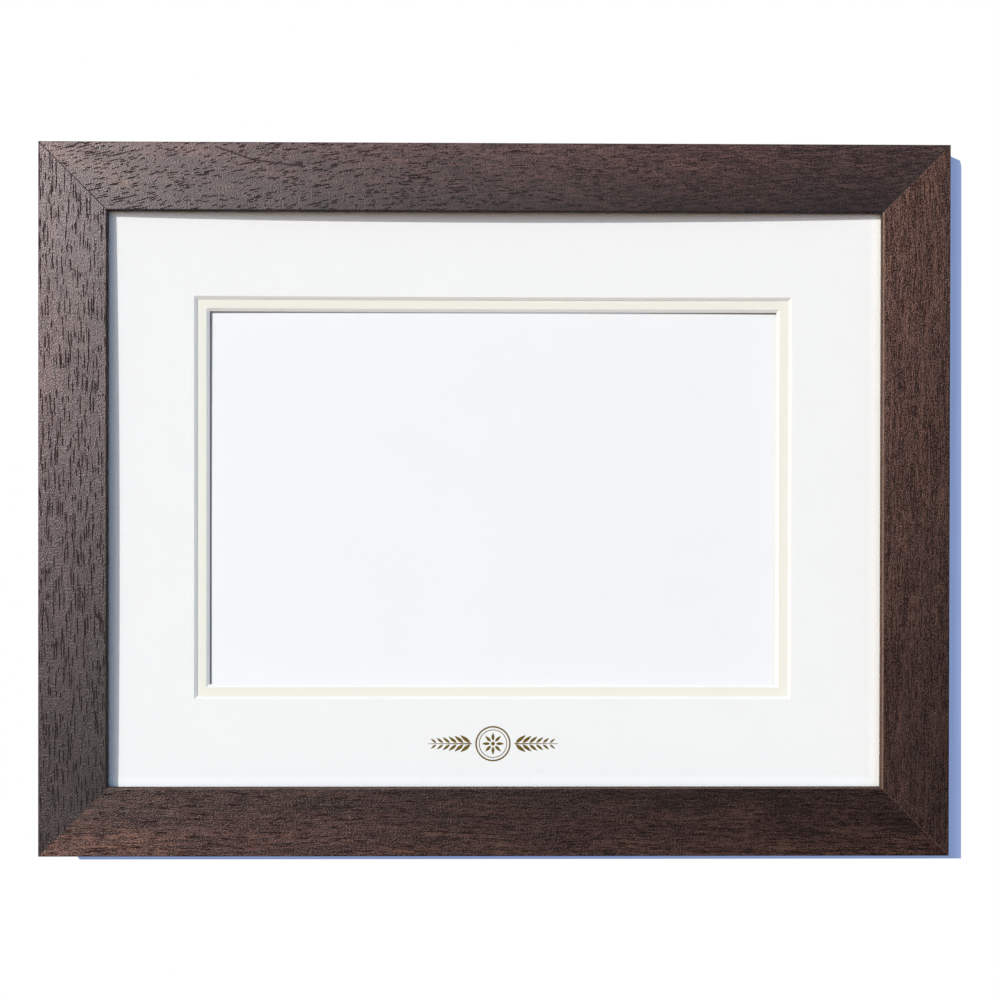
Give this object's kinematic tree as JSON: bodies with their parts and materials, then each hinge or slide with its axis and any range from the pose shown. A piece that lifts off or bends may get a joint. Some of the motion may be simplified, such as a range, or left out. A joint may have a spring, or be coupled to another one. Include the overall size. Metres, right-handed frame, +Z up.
{
  "type": "certificate frame",
  "caption": "Landscape certificate frame of dark stained mitred timber, with glazing, a bevelled window mount round a blank sheet, and a back held by turn buttons with ring hangers.",
  "frame": {"origin": "middle of the overall box: the frame's centre in width and height, half way from the front face to the plane of the wall that the bumpers rest on", "axes": "+X to the viewer's right along the long side, +Z up the wall, and the front faces -Y, so +Y points into the wall"},
  "size_m": [0.464, 0.022, 0.363],
  "materials": {
    "stained_timber": "dark open-pored stain, satin",
    "glazing": "clear float glass",
    "white_board": "fine linen-textured mount board, white core",
    "cream_board": "smooth mount board, white core",
    "clear_tape": "adhesive transfer tape",
    "white_paper": "smooth heavy paper",
    "hinge_paper": "gummed paper",
    "undermount_board": "smooth barrier board",
    "fibreboard": "bare thin fibreboard",
    "bright_steel": "bright rolled steel",
    "zinc_steel": "zinc plated",
    "nickel_steel": "nickel plated",
    "bumper_rubber": "matt rubber"
  },
  "bodies": {
    "frame": {"backing_board": "fibreboard", "bottom_rail": "stained_timber", "certificate_sheet": "white_paper", "corner_wedges": "bright_steel", "glazing_sheet": "glazing", "hanger_screws": "zinc_steel", "hanger_strap_left": "nickel_steel", "hanger_strap_right": "nickel_steel", "inner_mount": "cream_board", "left_rail": "stained_timber", "mount_tape": "clear_tape", "outer_mount": "white_board", "right_rail": "stained_timber", "sheet_hinges": "hinge_paper", "top_rail": "stained_timber", "turn_button_screws": "zinc_steel", "undermount": "undermount_board", "wall_bumpers": "bumper_rubber"},
    "turn_button_top_left": {"turn_button_top_left": "zinc_steel"},
    "turn_button_top_right": {"turn_button_top_right": "zinc_steel"},
    "turn_button_left": {"turn_button_left": "zinc_steel"},
    "turn_button_right": {"turn_button_right": "zinc_steel"},
    "turn_button_bottom_left": {"turn_button_bottom_left": "zinc_steel"},
    "turn_button_bottom_right": {"turn_button_bottom_right": "zinc_steel"},
    "hanger_ring_left": {"hanger_ring_left": "nickel_steel"},
    "hanger_ring_right": {"hanger_ring_right": "nickel_steel"}
  },
  "joints": [
    {"name": "turn_button_top_left_turn", "type": "hinge", "parent": "frame", "child": "turn_button_top_left", "pos_m": [-0.11, 0.0075, 0.162], "axis": [0, 1, 0], "continuous": true},
    {"name": "turn_button_top_right_turn", "type": "hinge", "parent": "frame", "child": "turn_button_top_right", "pos_m": [0.11, 0.0075, 0.162], "axis": [0, 1, 0], "continuous": true},
    {"name": "turn_button_left_turn", "type": "hinge", "parent": "frame", "child": "turn_button_left", "pos_m": [-0.2125, 0.0075, 0], "axis": [0, 1, 0], "continuous": true},
    {"name": "turn_button_right_turn", "type": "hinge", "parent": "frame", "child": "turn_button_right", "pos_m": [0.2125, 0.0075, 0], "axis": [0, 1, 0], "continuous": true},
    {"name": "turn_button_bottom_left_turn", "type": "hinge", "parent": "frame", "child": "turn_button_bottom_left", "pos_m": [-0.11, 0.0075, -0.162], "axis": [0, 1, 0], "continuous": true},
    {"name": "turn_button_bottom_right_turn", "type": "hinge", "parent": "frame", "child": "turn_button_bottom_right", "pos_m": [0.11, 0.0075, -0.162], "axis": [0, 1, 0], "continuous": true},
    {"name": "hanger_ring_left_swing", "type": "hinge", "parent": "frame", "child": "hanger_ring_left", "pos_m": [-0.205, 0.00885, 0.09], "axis": [0, 0, 1], "range_deg": [0, 175]},
    {"name": "hanger_ring_right_swing", "type": "hinge", "parent": "frame", "child": "hanger_ring_right", "pos_m": [0.205, 0.00885, 0.09], "axis": [0, 0, -1], "range_deg": [0, 175]}
  ]
}
